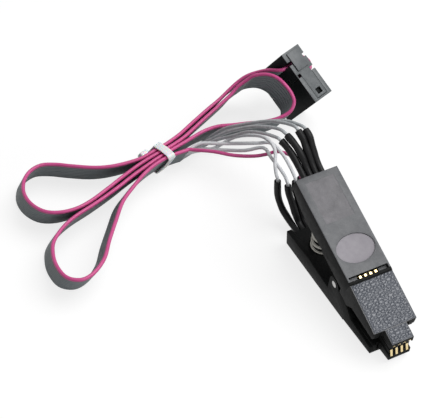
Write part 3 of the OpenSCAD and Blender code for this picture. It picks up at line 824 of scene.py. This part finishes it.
@dataclass
class Cable:
    """Eight insulated conductors, joined side by side in the ribbon and free near the clip.

    Attributes:
        sleeves: The sleeves that the leads end in.
        connector: Frame of the connector.
        pitch: Spacing of the conductors in the ribbon.
        radius: Radius of the insulation.
        bare: Radius of a lead where it goes into its sleeve.
        web: Half of the thickness of the web between two conductors.
        overlap: Reach of each web past the middle between two conductors.
        aim: Straight length of a lead where it parts, and again before its sleeve.
        settle: Number of route points in which the ribbon takes its free lean.
        steps: Number of steps between two points of the route.
        up: Direction from the low edge of the free ribbon to the edge of conductor 1.
        arc: Angles of the section's points between two webs, in degrees.
        bend_from: Point where the leads to the upper jaw would begin to bend with it; not used.
        bend_to: Point from which they would follow it; not used.
        lines: Centre line of each conductor, once it is made.
    """

    sleeves: Sleeves
    connector: ConnectorFrame
    pitch: float = 0.00127
    radius: float = 0.00045
    bare: float = 0.00034
    web: float = 0.0001
    overlap: float = 0.00001
    aim: float = 0.0008
    settle: float = 6.0
    steps: int = 4
    up: Vector = field(default_factory=lambda: Vector((0.573, 0.072, 0.816)).normalized())
    arc: tuple[float, ...] = (24.0, 50.0, 77.0, 103.0, 130.0, 156.0)
    bend_from: Point = (-0.0497, -0.0041, 0.0106)
    bend_to: Point = (-0.0315, 0.0017, 0.0282)
    lines: list[Line] = field(default_factory=list, init=False)

    def make(self) -> list[Piece]:
        """Builds the eight conductors.

        Returns:
            The conductors, from conductor 1 to conductor 8.
        """
        made = []
        for k in range(1, 9):
            piece, line = self._conductor(k)
            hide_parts(f"lead_{k}")
            if self.sleeves.side_of(LEAD_SLEEVES[k - 1]) is Side.UPPER:
                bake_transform(piece)
            else:
                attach(piece, LOWER)
            made.append(piece)
            self.lines.append(line)
        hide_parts("ribbon_cable")
        return made

    def declare(self, pieces: Sequence[Piece]) -> None:
        """Logs the length of every conductor, from its sleeve to the connector.

        Args:
            pieces: The conductors.
        """
        for piece, line in zip(pieces, self.lines):
            LOG.info("%s: %.1f mm long", piece.name, 1000.0 * length_of(line))

    def _lean(self, i: float, fold: int) -> Vector:
        """Direction to conductor 1 at place i of a route with fold points in the connector."""
        part = max(0.0, min(1.0, (i - fold) / self.settle))
        return (self.connector.row * (1.0 - part) + self.up * part).normalized()

    def _conductor(self, k: int) -> tuple[Piece, Line]:
        """Builds one conductor, from the connector along the ribbon and its lead to its sleeve.

        Args:
            k: Number of the conductor, from 1 to 8.

        Returns:
            The conductor and its centre line, from the clip to the connector.
        """
        fold = self.connector.fold_line()
        middle = [*fold, *metres(RIBBON_ROUTE)]
        out = (4.5 - k) * self.pitch
        ribbon = [p + out * self._lean(i, len(fold)) for i, p in enumerate(middle)]
        part = ribbon[-1] + self.aim * heading(middle, len(middle) - 1)
        sleeve = self.sleeves.line(LEAD_SLEEVES[k - 1])
        entry = sleeve[-1] + self.aim * heading(sleeve, len(sleeve) - 1)
        knots = [*ribbon, part, *metres(LEAD_ROUTES[k - 1]), entry, *sleeve[:-4:-1]]
        line = smooth_line(knots, self.steps)
        leans = [self._lean(i / self.steps, len(fold)) for i in range(len(line))]
        joined = (len(ribbon) - 1) * self.steps
        sides = [square_to(leans[i], heading(line, i)) for i in range(joined + 1)]
        sides += carried_sides(line[joined + 1:], sides[-1])
        rings = []
        for i, centre in enumerate(line):
            reach = 0.5 * self.pitch * abs(leans[i].dot(sides[i])) + self.overlap
            past = max(0.0, (i - joined) / (len(line) - joined))
            size = (reach if i <= joined else 0.0, self.radius + (self.bare - self.radius) * past ** 2)
            rings.append(self._ring(centre, heading(line, i), sides[i], size, k))
        # The webs of the grey conductors get the painted groove shade
        skin = swept(rings, joined + self.steps, () if k == 1 else WEB_SIDES)
        # The free leads get a lighter copy of the grey insulation as painted light
        lead_painted_light = WIRE_PAINTED_LIGHT if k < 5 else WIRE_HALF_PAINTED_LIGHT
        finishes = [WIRE_PINK] * 3 if k == 1 else [WIRE_GREY, lead_painted_light, WIRE_GROOVE_SHADE]
        return finished(skin, f"conductor_{k}", finishes, smooth=50.0), line[::-1]

    def _ring(
        self, centre: Vector, along: Vector, side: Vector, size: tuple[float, float], k: int
    ) -> Line:
        """Section of a conductor: a round insulation with a thin web towards each neighbour.

        Args:
            centre: Centre of the section.
            along: Direction of the conductor.
            side: Direction towards conductor 1.
            size: Reach of the webs from the centre, or 0 on a free lead, and the radius there.
            k: Number of the conductor.

        Returns:
            The points of the section.
        """
        up = along.cross(side)
        reach, radius = size
        flat = math.sqrt(radius ** 2 - self.web ** 2)
        ring = []
        for sign, outer in ((1.0, 1), (-1.0, 8)):
            end = flat if k == outer else max(reach, flat)
            ring.append(centre + sign * (end * side - self.web * up))
            ring.append(centre + sign * (end * side + self.web * up))
            for turn in map(math.radians, self.arc):
                x, z = radius * math.cos(turn), radius * math.sin(turn)
                ring.append(centre + sign * (x * side + z * up))
        return ring


@dataclass(frozen=True)
class Tie:
    """The white tie: a soft band round four passes of the ribbon, whose ends meet in its lock.

    Attributes:
        centre: Centre of the bundle.
        turn: Turn of the bundle about the vertical, in degrees.
        lean: Run and rise of the bundle along its lean.
        high: Half of the bundle's height along the lean.
        wide: Half of the bundle's width.
        band_w: Width of the band along the cable.
        band_t: Thickness of the band.
        corner: Inner radius of the band's corners.
        crown: Rise of the band over the middle of each side, the one on the table apart.
        lock: Length and thickness of the lock.
        lock_at: Middle of the far side down to the lock.
        lock_edge: Rounding of the lock's edges.
        section: Powers that fill out the corners of the band's section, across and through it.
    """

    centre: Point = (-0.0577, -0.0215, 0.0048)
    turn: float = 16.3
    lean: tuple[float, float] = (0.57, 0.816)
    high: float = 0.005295
    wide: float = 0.00289
    band_w: float = 0.0021
    band_t: float = 0.0004
    corner: float = 0.0006
    crown: float = 0.0002
    lock: tuple[float, float] = (0.0024, 0.0017)
    lock_at: float = 0.0039
    lock_edge: float = 0.0004
    section: tuple[float, float] = (0.5, 0.8)

    @property
    def matrix(self) -> Matrix:
        """Matrix from the bundle's frame, whose Y runs along the cable, to the row frame."""
        return Matrix.Translation(self.centre) @ Matrix.Rotation(math.radians(self.turn), 4, "Z")

    @property
    def axis(self) -> Vector:
        """Unit direction up the lean, in the bundle's frame."""
        return Vector((self.lean[0], 0.0, self.lean[1])).normalized()

    @property
    def out(self) -> Vector:
        """Unit direction out of the bundle's far side, in the bundle's frame."""
        return Vector((-self.axis.z, 0.0, self.axis.x))

    @property
    def seat(self) -> Vector:
        """Point of the bundle's far side that the lock sits on, in the bundle's frame."""
        return Vector((-self.wide, 0.0, 0.0)) - self.lock_at * self.axis

    def make(self) -> None:
        """Builds the band and its lock."""
        loop = self._loop()
        bm = swept([self._ring(point, heading(loop, i)) for i, point in enumerate(loop)])
        place = self.matrix @ Matrix.Translation(self.seat + self.out * self.lock[1] / 2.0)
        turned = Matrix((self.axis, Vector((0.0, 1.0, 0.0)), self.out)).transposed().to_4x4()
        size = Matrix.Diagonal((self.lock[0], self.lock[0], self.lock[1], 1.0))
        block = bmesh.ops.create_cube(bm, size=1.0, matrix=place @ turned @ size)["verts"]
        edges = list({edge for vert in block for edge in vert.link_edges})
        round_edges(bm, edges, self.lock_edge, segments=3, clamp=True)
        piece = finished(bm, "bundle_tie", [TIE_NYLON], smooth=45.0)
        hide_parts("cable_tie")
        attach(piece, LOWER)

    def _loop(self) -> Line:
        """Middle line of the band, from the lock round the bundle and back to the lock.

        Returns:
            The points of the line, in the bundle's frame.
        """
        far = self.high * Vector((self.lean[0], 0.0, self.lean[1]))
        side = Vector((self.wide, 0.0, 0.0))
        stops = [self.seat, -far - side, side - far, far + side, far - side, self.seat]
        meet = self.seat + self.out * self.band_t / 2.0
        line = [meet]
        for i in range(1, 5):
            bend, ahead = stops[i], stops[i + 1]
            line += self._bend(bend, (stops[i - 1] - bend).normalized(), (ahead - bend).normalized())
            if i < 4:
                flat = (ahead - bend).normalized()
                rise = self.band_t / 2.0 + (self.crown if i > 1 else 0.0)
                line.append((bend + ahead) / 2.0 + Vector((flat.z, 0.0, -flat.x)) * rise)
        return smooth_line([*line, meet], 3)

    def _bend(self, bend: Vector, back: Vector, ahead: Vector) -> Line:
        """Middle line of the band round one corner of the bundle.

        Args:
            bend: The corner.
            back: Direction to the corner before it.
            ahead: Direction to the corner after it.

        Returns:
            Five points on the round corner.
        """
        half = back.angle(ahead) / 2.0
        centre = bend + (back + ahead).normalized() * self.corner / math.sin(half)
        first = (bend + back * self.corner / math.tan(half) - centre).normalized()
        last = (bend + ahead * self.corner / math.tan(half) - centre).normalized()
        radius = self.corner + self.band_t / 2.0
        return [centre + radius * first.slerp(last, k / 4.0) for k in range(5)]

    def _ring(self, centre: Vector, along: Vector) -> Line:
        """Section of the band, with full round edges.

        Args:
            centre: Centre of the section, in the bundle's frame.
            along: Direction of the band there.

        Returns:
            The points of the section, in the row frame.
        """
        across = Vector((0.0, 1.0, 0.0))
        out = along.cross(across)
        count = 16
        ring = []
        for k in range(count):
            c, s = math.cos(math.tau * k / count), math.sin(math.tau * k / count)
            y = math.copysign(abs(c) ** self.section[0], c) * self.band_w / 2.0
            z = math.copysign(abs(s) ** self.section[1], s) * self.band_t / 2.0
            ring.append(self.matrix @ (centre + y * across + z * out))
        return ring


# --- moulded parts ---


def softened(node: str, width: float) -> Draft:
    """Copy of a CAD node whose triangles are merged into faces and whose long edges are rounded.

    Args:
        node: Name of the node.
        width: Width of the rounding.

    Returns:
        The copy, as a mesh under construction.
    """
    bm = bmesh.new()
    bm.from_mesh(bpy.data.objects[node].data)
    bmesh.ops.remove_doubles(bm, verts=bm.verts, dist=MERGED)
    bmesh.ops.dissolve_limit(bm, angle_limit=math.radians(FLAT), verts=bm.verts, edges=bm.edges)
    edges = [edge for edge in bm.edges if has_room(edge, width)]
    round_edges(bm, edges, width, segments=2, clamp=False)
    return bm


def has_room(edge: bmesh.types.BMEdge, width: float) -> bool:
    """Tells whether an edge is sharp, long and between faces wide enough to be rounded."""
    length = edge.calc_length()
    return (
        len(edge.link_faces) == 2
        and edge.calc_face_angle(0.0) > math.radians(SHARP)
        and length > LONG * width
        and min(face.calc_area() for face in edge.link_faces) > WIDE * width * length
    )


@dataclass(frozen=True)
class Jaws:
    """The two moulded jaws with their pebbled front panels and finger recesses.

    Attributes:
        frame: Frame of the jaws.
        edge: Rounding of their edges.
        cell: Size of one pebble along the jaw.
        stretch: Size of a pebble along the jaw as a share of its size across.
        jitter: Share of a cell over which the middles of the pebbles stray.
        warp: Reach of the waves in the rows of pebbles, in cells.
        seed: Seed of these waves, without which they would differ from run to run.
        dome: Radius of a pebble's dome, in cells.
        flank: Steepness and roundness of the valleys' flanks.
        pebble: Height of a pebble.
        step: Spacing of the panel's mesh.
        rim: Smooth rim round the panel.
        sunk: Depth of the panel's outline below the jaw's face.
        lift: Height of the valleys above it.
        fade: Number of the mesh's cells over which the pebbles rise from the outline.
        ledge: Rear corner forward to the narrow ledge behind the front panel.
        grip: Depth of the grip panel.
        oval_at: Rear corner forward to the middle of the oval recess.
        oval: Depth of the oval recess and its reach from its middle.
        shade_depth: Depth from which a slanted face gets painted shade, from which every face does,
            and up to which every face ahead of the ledge does.
        slant: Outward share of its direction below which a face is slanted, and from which level.
        near: How exactly a face's depth has to be that of the panel or the recess.
    """

    frame: JawFrame
    edge: float = 0.00012
    cell: float = 0.00066
    stretch: float = 0.72
    jitter: float = 0.8
    warp: float = 0.25
    seed: int = 1
    dome: float = 1.1
    flank: tuple[float, float] = (2.2, 0.7)
    pebble: float = 0.00016
    step: float = 0.00009
    rim: float = 0.00016
    sunk: float = 0.00003
    lift: float = 0.00001
    fade: float = 2.0
    ledge: float = 0.02598
    grip: float = 0.00005
    oval_at: float = 0.01925
    oval: tuple[float, float] = (0.0003, 0.0048)
    shade_depth: Point = (0.00035, 0.0045, 0.0005)
    slant: tuple[float, float] = (0.75, 0.99)
    near: float = 0.00002

    def make(self) -> None:
        """Builds both jaws."""
        noise.seed_set(self.seed)
        jaw = self.frame
        stops = (
            (jaw.step_len, jaw.step_h - jaw.panel_drop), (jaw.shoulder_len, jaw.shoulder_h),
            (jaw.nose_len, jaw.nose_h),
        )
        finishes = [SMOOTH_PLASTIC, PEBBLED_PLASTIC, OVAL_PLASTIC, SHADED_SIDE_PLASTIC, GRIP_PLASTIC]
        for side in Side:
            bm = softened(f"{side.label}_jaw", self.edge)
            cut = jaw.arm_point(self.ledge, 0.0, 0.0, side)
            whole = [*bm.verts, *bm.edges, *bm.faces]
            ahead = cut - jaw.arm_point(0.0, 0.0, 0.0, side)
            bmesh.ops.bisect_plane(bm, geom=whole, plane_co=cut, plane_no=ahead)
            self._mark_faces(bm, side)
            for start, end, width in zip(stops, stops[1:], (jaw.jaw_w, jaw.nose_w)):
                self._panel(bm, side, start, end, width)
            piece = finished(bm, f"{side.label}_jaw_moulding", finishes, smooth=32.0)
            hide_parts(f"{side.label}_jaw")
            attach(piece, side.body)

    def _panel(
        self, bm: Draft, side: Side, start: tuple[float, float], end: tuple[float, float],
        width: float,
    ) -> None:
        """Adds the pebbled skin of one flat stretch of the front.

        Args:
            bm: Mesh of the jaw.
            side: The jaw.
            start: Start of the stretch in the side view, forward and out.
            end: End of the stretch in the side view.
            width: Width of the jaw there.
        """
        run = math.dist(start, end) - self.rim
        across = width - 2.0 * self.rim
        rows = max(4, round(run / self.step))
        columns = round(across / self.step)
        grid = bmesh.ops.create_grid(bm, x_segments=columns, y_segments=rows, size=0.5)["verts"]
        along = Vector((end[0] - start[0], end[1] - start[1])).normalized()
        normal = Vector((-along.y, along.x))
        for vert in grid:
            y = vert.co.x * across
            s = self.rim / 2.0 + (vert.co.y + 0.5) * run
            inset = min((0.5 - abs(vert.co.x)) * columns, (0.5 - abs(vert.co.y)) * rows)
            border = min(1.0, inset / self.fade)
            rise = border * (self.lift + self._pebble(y, s)) - (1.0 - border) * self.sunk
            x = start[0] + along.x * s + normal.x * rise
            z = start[1] + along.y * s + normal.y * rise
            vert.co = self.frame.place(x, y, side.value * z)
        faces = list({face for vert in grid for face in vert.link_faces})
        for face in faces:
            face.material_index = 1
            face.normal_update()
        out = self.frame.place(normal.x, 0.0, side.value * normal.y) - self.frame.place(0.0, 0.0, 0.0)
        if sum(face.normal.dot(out) for face in faces) < 0.0:
            bmesh.ops.reverse_faces(bm, faces=faces)

    def _along(self, point: Vector, side: Side) -> float:
        """How far forward of the rear corner a point lies along the arm."""
        start = self.frame.arm_point(0.0, 0.0, 0.0, side)
        ahead = self.frame.arm_point(1.0, 0.0, 0.0, side) - start
        return (point - start).dot(ahead.normalized())

    def _pebble(self, y: float, s: float) -> float:
        """Height of the pebbled texture: domed cells with valleys between them.

        Args:
            y: Place across the panel.
            s: Place along the panel.

        Returns:
            The height above the valleys.
        """
        point = Vector((self.stretch * y, s, 0.0)) / self.cell
        point += self.warp * noise.noise_vector(point)
        point.z = 0.0
        home = Vector((math.floor(point.x) + 0.5, math.floor(point.y) + 0.5, 0.0))
        near = sorted((self._middle(home + step) - point).length for step in NEIGHBOURS)
        dome = math.sqrt(max(0.0, 1.0 - (near[0] / self.dome) ** 2))
        steep, power = self.flank
        return self.pebble * dome * min(1.0, steep * (near[1] - near[0])) ** power

    def _middle(self, cell: Vector) -> Vector:
        """Middle of the pebble in one cell, given the middle of the cell."""
        drift = noise.cell_vector(cell + Vector((0.0, 0.0, 0.5)))
        return cell + Vector((drift.x - 0.5, drift.y - 0.5, 0.0)) * self.jitter

    def _mark_faces(self, bm: Draft, side: Side) -> None:
        """Marks painted shade on the flanks, inside and ledge, the grip panel, and the floor of the oval.

        Args:
            bm: Mesh of the jaw.
            side: The jaw.
        """
        middle = self.frame.arm_point(self.oval_at, 0.0, 0.0, side)
        floor = self.frame.arm_point(self.oval_at, self.oval[0], 0.0, side)
        out = (middle - floor).normalized()
        for face in bm.faces:
            point = face.calc_center_median()
            depth = (middle - point).dot(out)
            flat = face.normal.dot(out)
            rear = self._along(point, side) < self.ledge
            # Slanted flanks, the deep inside and the ledge get the painted shade
            slanted = flat < self.slant[0] and (depth > self.shade_depth[0] or not rear)
            if slanted or depth > self.shade_depth[1] or (not rear and depth < self.shade_depth[2]):
                face.material_index = 3
            elif flat > self.slant[1] and abs(depth - self.grip) < self.near:
                face.material_index = 4
            elif abs(depth - self.oval[0]) < 2.0 * self.near and (point - floor).length < self.oval[1]:
                face.material_index = 2


@dataclass(frozen=True)
class Spring:
    """The coil spring between the two arms, which shortens as the clip opens.

    Attributes:
        jaws: Frame of the jaws.
        back: Hinge pin back to the spring's axis.
        seat: Mid-plane out to each seat.
        outer: Outer diameter.
        wire: Diameter of the wire.
        turns: Number of turns, the two closed end turns among them.
        closed: Rise of a closed end turn, in diameters of the wire.
        steps: Number of steps in a turn.
    """

    jaws: JawFrame
    back: float = 0.0135
    seat: float = 0.0072
    outer: float = 0.006
    wire: float = 0.0007
    turns: float = 7.5
    closed: float = 1.2
    steps: int = 40

    def make(self) -> None:
        """Builds the spring between the two arms."""
        radius = (self.outer - self.wire) / 2.0
        line = []
        for i in range(round(self.turns * self.steps) + 1):
            turn = i / self.steps
            x = -self.back + radius * math.cos(math.tau * turn)
            line.append(self.jaws.place(x, radius * math.sin(math.tau * turn), self._rise(turn)))
        axis = (self.jaws.place(0.0, 0.0, 1.0) - self.jaws.place(0.0, 0.0, 0.0)).normalized()
        rings = []
        for i, centre in enumerate(line):
            along = heading(line, i)
            rings.append(round_ring(centre, along, square_to(axis, along), self.wire / 2.0, 10))
        piece = finished(swept(rings), "coil_spring", [SPRING_STEEL], smooth=50.0)
        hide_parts("jaw_spring")
        low = self.jaws.place(-self.back, 0.0, -self.seat)
        high = self.jaws.place(-self.back, 0.0, self.seat)
        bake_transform(piece)

    def _rise(self, turn: float) -> float:
        """Height of the wire above the mid-plane after a number of turns.

        Args:
            turn: Number of turns from the lower end.

        Returns:
            The height.
        """
        end = self.closed * self.wire
        length = 2.0 * self.seat - self.wire
        pitch = (length - 2.0 * end) / (self.turns - 2.0)
        if turn < 1.0:
            rise = turn * end
        elif turn > self.turns - 1.0:
            rise = length - (self.turns - turn) * end
        else:
            rise = end + (turn - 1.0) * pitch
        return rise - length / 2.0


@dataclass(frozen=True)
class Metalwork:
    """The hinge pin and the gold contacts, whose CAD solids are shown.

    Attributes:
        nodes: The part's nodes by name.
    """

    nodes: Mapping[str, Piece]

    def dress(self) -> None:
        """Gives the pin and every contact its finish, on every slot."""
        for name, node in self.nodes.items():
            if name != "hinge_pin" and "_contact" not in name:
                continue
            finish = STEEL if name == "hinge_pin" else GOLD
            for slot in node.material_slots:
                slot.material = finish.material()
            LOG.info("%s: %s", name, finish.name)


@dataclass(frozen=True)
class Connector:
    """The eight-way connector on the far end of the ribbon.

    Attributes:
        frame: Frame of the connector.
        end: Depth of its ends, whose end faces are painted light grey; its faces behind are dark.
        edge: Rounding of its edges.
        facing: Share of its direction along the rows from which a face is an end.
    """

    frame: ConnectorFrame
    end: float = 0.0003
    edge: float = 0.00012
    facing: float = 0.3

    def make(self) -> list[Piece]:
        """Builds the socket, the cover and the strain relief.

        Returns:
            The three pieces.
        """
        parts = (
            ("connector_socket", "socket_body", SOCKET_BLACK.slot),
            ("connector_cover", "cable_cover", END_PAINTED_LIGHT.slot),
            ("connector_strain_relief", "strain_relief_clip", END_PAINTED_LIGHT.slot),
        )
        half = self.frame.length / 2.0
        made = []
        for node, name, slot in parts:
            bm = softened(node, self.edge)
            for face in bm.faces:
                along = (face.calc_center_median() - Vector(self.frame.corner)).dot(self.frame.row)
                at_end = abs(along - half) > half - self.end
                facing = abs(face.normal.dot(self.frame.row)) > self.facing
                # End faces along the rows get the painted light grey, and all other faces the dark
                # plastic
                face.material_index = 1 if facing and at_end else 0
            piece = finished(bm, name, [SOCKET_BLACK, END_PAINTED_LIGHT], smooth=35.0)
            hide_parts(node)
            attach(piece, LOWER)
            made.append(piece)
        return made


# --- stage ---


def seen_directly(tree: Tree, reflected: float) -> Socket:
    """Adds nodes that give 1 to the camera, less in reflections and refractions, and 0 elsewhere.

    Args:
        tree: Node tree that the nodes are added to.
        reflected: Number given in reflections and refractions.

    Returns:
        The output with that number.
    """
    rays = add_node(tree, "LightPath").outputs
    either = add_math(tree, "MAXIMUM", rays["Is Glossy Ray"], rays["Is Transmission Ray"])
    share = add_math(tree, "MULTIPLY", either, reflected)
    return add_math(tree, "MAXIMUM", share, rays["Is Camera Ray"])


@dataclass(frozen=True)
class Studio:
    """Camera, floor, lamps and world.

    Attributes:
        eye: Place of the camera.
        target: Point that it looks at.
        roll: Its roll, in degrees.
        view_angle: Width of its view, in degrees.
        floor_size: Length of the floor's sides.
        aim: Point that the lamps face.
        floor_grey: Grey of the floor.
        floor_glow: Strength of the floor's own light to the camera, and its share in reflections.
        world_light: Strength of the world's light, and share of its white in reflections.
    """

    eye: Point = (0.17933, -0.1086, 0.23345)
    target: Point = (-0.038805, -0.013779, 0.0)
    roll: float = -3.29
    view_angle: float = 18.05
    floor_size: float = 3.0
    aim: Point = (-0.02, -0.01, 0.0)
    floor_grey: float = 0.3
    floor_glow: tuple[float, float] = (0.78, 0.75)
    world_light: tuple[float, float] = (0.2, 0.6)

    def make_camera(self) -> None:
        """Makes the camera and gives it to the scene."""
        back = (Vector(self.eye) - Vector(self.target)).normalized()
        right = Vector((0.0, 0.0, 1.0)).cross(back).normalized()
        turn = Matrix.Rotation(math.radians(self.roll), 3, back)
        axes = Matrix((turn @ right, turn @ back.cross(right), back)).transposed()
        data = bpy.data.cameras.new("camera")
        data.sensor_width = 36.0
        data.lens = data.sensor_width / 2.0 / math.tan(math.radians(self.view_angle) / 2.0)
        data.clip_start = 0.01
        data.clip_end = 20.0
        camera = placed("camera", data)
        camera.matrix_world = Matrix.Translation(self.eye) @ axes.to_4x4()
        bpy.context.scene.camera = camera

    def make_stage(self) -> None:
        """Makes the floor, the lamps and the world."""
        bpy.context.scene.view_settings.view_transform = "Standard"
        self._floor()
        self._lamp("key_lamp", place=(0.1, 0.32, 0.64), size=0.6, power=4.3)
        self._lamp("front_lamp", place=(0.55, 0.02, 0.2), size=0.25, power=0.7)
        self._world()

    def _floor(self) -> None:
        """Makes the pale floor, which is white to the camera apart from the object's shadow."""
        bm = bmesh.new()
        bmesh.ops.create_grid(bm, x_segments=1, y_segments=1, size=self.floor_size / 2.0)
        floor = placed("floor", mesh_from(bm, "floor"))
        floor.location.z = -0.0001
        paint = bpy.data.materials.new("floor_paint")
        paint.use_nodes = True
        tree = paint.node_tree
        tree.nodes.clear()
        glow, share = self.floor_glow
        strength = add_math(tree, "MULTIPLY", seen_directly(tree, share), glow)
        flat = add_node(tree, "BsdfDiffuse", {"Color": (*[self.floor_grey] * 3, 1.0)})
        lit = add_node(tree, "Emission", {"Color": WHITE, "Strength": strength})
        both = add_node(tree, "AddShader", {0: flat.outputs["BSDF"], 1: lit.outputs["Emission"]})
        add_node(tree, "OutputMaterial", {"Surface": both.outputs["Shader"]})
        floor.data.materials.append(paint)

    def _lamp(self, name: str, place: Point, size: float, power: float) -> None:
        """Makes a soft square lamp that faces the object.

        Args:
            name: Name of the lamp.
            place: Its place.
            size: Length of its sides.
            power: Its power in watts.
        """
        data = bpy.data.lights.new(name, "AREA")
        data.shape = "SQUARE"
        data.size = size
        data.energy = power
        lamp = placed(name, data)
        lamp.location = place
        lamp.rotation_mode = "QUATERNION"
        lamp.rotation_quaternion = (Vector(self.aim) - Vector(place)).to_track_quat("-Z", "Y")

    def _world(self) -> None:
        """Makes the world: white to the camera and in reflections, and a soft light elsewhere."""
        world = bpy.data.worlds.new("world")
        world.use_nodes = True
        bpy.context.scene.world = world
        tree = world.node_tree
        tree.nodes.clear()
        light, share = self.world_light
        inputs = {"Value": seen_directly(tree, share), "To Min": light, "To Max": 1.0}
        strength = add_node(tree, "MapRange", inputs).outputs["Result"]
        sky = add_node(tree, "Background", {"Color": WHITE, "Strength": strength})
        add_node(tree, "OutputWorld", {"Surface": sky.outputs["Background"]})


def main() -> None:
    """Builds the scene."""
    logging.basicConfig(level=logging.INFO, format="%(message)s")
    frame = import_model()
    studio = Studio()
    studio.make_camera()
    jaws = JawFrame()
    sleeves = Sleeves(jaws)
    connector = Connector(ConnectorFrame())
    cable = Cable(sleeves, connector.frame)
    conductors = cable.make()
    ends = connector.make()
    cable.declare(conductors)
    sleeves.make()
    Tie().make()
    Jaws(jaws).make()
    Spring(jaws).make()
    Metalwork(frame["nodes"]).dress()
    studio.make_stage()


if __name__ == "__main__":
    main()
